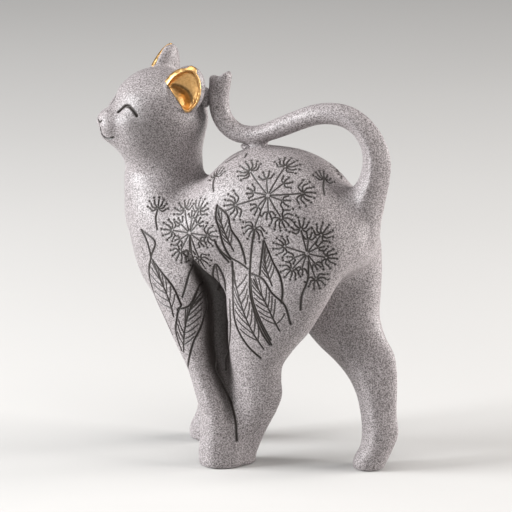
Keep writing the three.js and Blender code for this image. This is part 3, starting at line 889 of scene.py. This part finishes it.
class Nodes:
    """Short way to add and link the shader nodes of a new material."""

    def __init__(self, name):
        self.material = bpy.data.materials.new(name)
        self.material.use_nodes = True
        self.tree = self.material.node_tree
        self.shader = self.tree.nodes["Principled BSDF"]
        self.place = self.add("ShaderNodeTexCoord").outputs["Object"]

    def add(self, kind, **settings):
        node = self.tree.nodes.new(kind)
        for key, value in settings.items():
            setattr(node, key, value)
        return node

    def link(self, source, target):
        self.tree.links.new(source, target)

    def noise(self, scale, detail=2.0, roughness=0.5):
        """Noise in the object's own metres."""
        node = self.add("ShaderNodeTexNoise")
        node.inputs["Scale"].default_value = scale
        node.inputs["Detail"].default_value = detail
        node.inputs["Roughness"].default_value = roughness
        self.link(self.place, node.inputs["Vector"])
        return node.outputs["Fac"]

    def span(self, value, low, high, out_low=0.0, out_high=1.0):
        """Value stretched from low...high to out_low...out_high."""
        node = self.add("ShaderNodeMapRange")
        for key, number in (("From Min", low), ("From Max", high),
                            ("To Min", out_low), ("To Max", out_high)):
            node.inputs[key].default_value = number
        self.link(value, node.inputs["Value"])
        return node.outputs["Result"]

    def mix(self, factor, first, second):
        """Colour between first and second, each a socket or a colour."""
        node = self.add("ShaderNodeMix", data_type="RGBA")
        factor_in, (first_in, second_in) = node.inputs["Factor"], node.inputs[6:8]
        for socket, value in ((factor_in, factor), (first_in, first), (second_in, second)):
            if isinstance(value, bpy.types.NodeSocket):
                self.link(value, socket)
            else:
                socket.default_value = value
        return node.outputs[2]

    def bump(self, height, strength, distance):
        """Fine relief, distance metres deep."""
        node = self.add("ShaderNodeBump")
        node.inputs["Strength"].default_value = strength
        node.inputs["Distance"].default_value = distance
        self.link(height, node.inputs["Height"])
        self.link(node.outputs["Normal"], self.shader.inputs["Normal"])


DARK_GRAIN = (0.062, 0.05, 0.05, 1)
PALE_GRAIN = (0.46, 0.42, 0.425, 1)
EVEN_GREY = (0.21, 0.185, 0.187, 1)
# dark brown of the lines' wash, also used as painted shade in the recess and on the cheeks
WASH_AND_SHADE_BROWN = (0.02, 0.014, 0.011, 1)
DEEP_GOLD = (0.50, 0.27, 0.09, 1)
PALE_GOLD = (0.75, 0.49, 0.22, 1)


def stone():
    """Grey speckled stone casting with a dark wash left in its lines, and painted shade in its
    recess and on its cheeks.
    """
    nodes = Nodes("stone_cast")
    fine = nodes.noise(1900, 2.0, 0.7)
    broad = nodes.noise(60, 3, 0.5)
    tone = nodes.mix(nodes.span(fine, 0.36, 0.64), DARK_GRAIN, PALE_GRAIN)
    tone = nodes.mix(nodes.span(broad, 0.3, 0.7, 0.0, 0.2), tone, EVEN_GREY)
    wash_and_painted_shade = nodes.add("ShaderNodeAttribute", attribute_name="wash_and_painted_shade").outputs["Fac"]
    # mixes in the lines' wash and the painted shade
    tone = nodes.mix(wash_and_painted_shade, tone, WASH_AND_SHADE_BROWN)
    nodes.link(tone, nodes.shader.inputs["Base Color"])
    nodes.link(nodes.span(broad, 0.3, 0.7, 0.46, 0.54), nodes.shader.inputs["Roughness"])
    nodes.bump(fine, strength=0.25, distance=0.06 * MM)
    return nodes.material


def gold():
    """Warm gold leaf, a little uneven."""
    nodes = Nodes("gold_leaf")
    fine = nodes.noise(900, 3, 0.6)
    tone = nodes.mix(nodes.span(fine, 0.3, 0.7), DEEP_GOLD, PALE_GOLD)
    nodes.link(tone, nodes.shader.inputs["Base Color"])
    nodes.link(nodes.span(fine, 0.3, 0.7, 0.3, 0.48), nodes.shader.inputs["Roughness"])
    nodes.shader.inputs["Metallic"].default_value = 1.0
    nodes.bump(fine, strength=0.3, distance=0.1 * MM)
    return nodes.material


STONE, GOLD = stone(), gold()


# ---- pieces ----------------------------------------------------------------------------------

def place(piece, node, material, slot):
    """Gives a piece its material, hides the CAD node it takes the place of, and hangs it on the
    root body.
    """
    piece.data.materials.append(material)
    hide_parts(node)
    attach(piece, "root")


def stone_castings():
    """Every casting, sculpted and then engraved with the lines that run on over its neighbours."""
    shapes = {node: sculpt(node) for node in STEPS}
    cuts = laid_on(shapes)
    tree = KDTree(len(cuts))
    for number, cut in enumerate(cuts):
        tree.insert(cut[:3], number)
    tree.balance()
    for node, (points, triangles) in shapes.items():
        points, triangles, wash_and_painted_shade = engrave(node, points, triangles, tree, cuts)
        piece = new_piece(node + "_casting", points, triangles)
        painted = piece.data.attributes.new("wash_and_painted_shade", "FLOAT", "POINT")
        painted.data.foreach_set("value", wash_and_painted_shade.astype(np.float32))
        place(piece, node, STONE, "stone_cast")


# The gold coats the ear from a little above its surface to this far under it.
LEAF_RISE = 0.25
LEAF_DEPTH = 0.6
# How far it laps over the rim: on average, and how much more in front than behind.
LEAF_LAP, LAP_SWING, LAP_RUN, LAP_LEAD = 1.45, 0.85, 4, 0.4
# It stops at a plane across the head, given by the plane's forward and up parts and its place.
LEAF_PLANE = (0.861, -0.508, 7.2)


def lining(side):
    """Gold leaf that coats the ear's hollow and laps over its front rim."""
    node = "left_ear_gilding" if side > 0 else "right_ear_gilding"
    grid = piece_grid(node, LINING_STEP)
    local = head_local(*grid.points)
    body, _ = castings(grid)
    hollow = ear_leaf(local, side, EAR_WALL)
    edge = LEAF_PLANE[0] * local[0] + LEAF_PLANE[1] * local[2] + LEAF_PLANE[2]
    forward = ear_axes(side)[0] * side
    ahead = sum(forward[k] * (local[k] - EAR_ROOT[k] * (side if k == 1 else 1)) for k in range(3))
    lap = LEAF_LAP + LAP_SWING * np.clip(ahead / LAP_RUN + LAP_LEAD, -1, 1)
    skin = np.maximum(body - LEAF_RISE, -LEAF_DEPTH - body)
    coat = np.maximum(skin, np.maximum(hollow - lap, edge))
    place(new_piece(node + "_leaf", *surface(coat, grid)), node, GOLD, "gold_leaf")


def bond(node, shift, length):
    """Fillet of casting stone where the tail is bonded, moved and scaled along x from its CAD."""
    low, high = node_box(node)
    centre = (low + high) / 2 + (shift, 0, 0)
    grid = piece_grid(node, BOND_STEP)
    pad = ellipsoid(grid.points, centre, (high - low) / 2 * (length, 1, 1))
    place(new_piece(node + "_fillet", *surface(pad, grid)), node, STONE, "stone_cast")


stone_castings()
for side in (1, -1):
    lining(side)
bond("tail_saddle", shift=2.2, length=0.8)
bond("tail_tip_bond", shift=0, length=1)

# ---- stage, light and camera -----------------------------------------------------------------

low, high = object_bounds()
AIM = Vector((((low + high) / 2).x + 2 * MM, 0, 85 * MM))


def direction(azimuth, elevation):
    """Unit vector, with its azimuth in degrees from -Y towards +X."""
    a, e = math.radians(azimuth), math.radians(elevation)
    return Vector((math.sin(a) * math.cos(e), -math.cos(a) * math.cos(e), math.sin(e)))


def look_from(thing, where):
    """Puts a light or a camera in the scene, turned to the middle of the figurine."""
    thing.location = where
    thing.rotation_euler = (where - AIM).to_track_quat("Z", "Y").to_euler()
    bpy.context.scene.collection.objects.link(thing)


LIGHT_DISTANCE = 1.3


def soft_light(name, azimuth, elevation, size, power, colour):
    """Square lamp that is size metres wide."""
    light = bpy.data.lights.new(name, "AREA")
    light.color = colour
    light.size = size
    light.energy = power
    where = AIM + direction(azimuth, elevation) * LIGHT_DISTANCE
    look_from(bpy.data.objects.new(name, light), where)


FLOOR = 4
floor_mesh = bpy.data.meshes.new("floor")
floor_mesh.from_pydata([(-FLOOR, -FLOOR, 0), (FLOOR, -FLOOR, 0), (FLOOR, FLOOR, 0),
                        (-FLOOR, FLOOR, 0)], [], [(0, 1, 2, 3)])
floor = bpy.data.objects.new("floor", floor_mesh)
bpy.context.scene.collection.objects.link(floor)
pale = Nodes("pale_floor")
clouds = pale.mix(pale.noise(3), (0.52, 0.51, 0.50, 1), (0.56, 0.55, 0.54, 1))
pale.link(clouds, pale.shader.inputs["Base Color"])
pale.shader.inputs["Roughness"].default_value = 0.85
floor_mesh.materials.append(pale.material)

COOL, WARM = (0.97, 0.99, 1), (1, 0.98, 0.96)
soft_light("key", azimuth=-59, elevation=18, size=0.6, power=35, colour=COOL)
soft_light("fill", azimuth=112, elevation=14, size=0.8, power=30, colour=WARM)
soft_light("top", azimuth=20, elevation=80, size=1.0, power=12, colour=WARM)

world = bpy.data.worlds.new("studio")
world.use_nodes = True
background = world.node_tree.nodes["Background"]
background.inputs["Color"].default_value = (0.72, 0.73, 0.75, 1)
background.inputs["Strength"].default_value = 0.09
bpy.context.scene.world = world
bpy.context.scene.view_settings.view_transform = "Standard"

CAMERA_DISTANCE = 1.5
camera = bpy.data.cameras.new("camera")
camera.lens = 263.7
camera.sensor_width = 36
camera.clip_end = 20
seen_from = bpy.data.objects.new("camera", camera)
look_from(seen_from, AIM + direction(azimuth=24, elevation=15.5) * CAMERA_DISTANCE)
bpy.context.scene.camera = seen_from
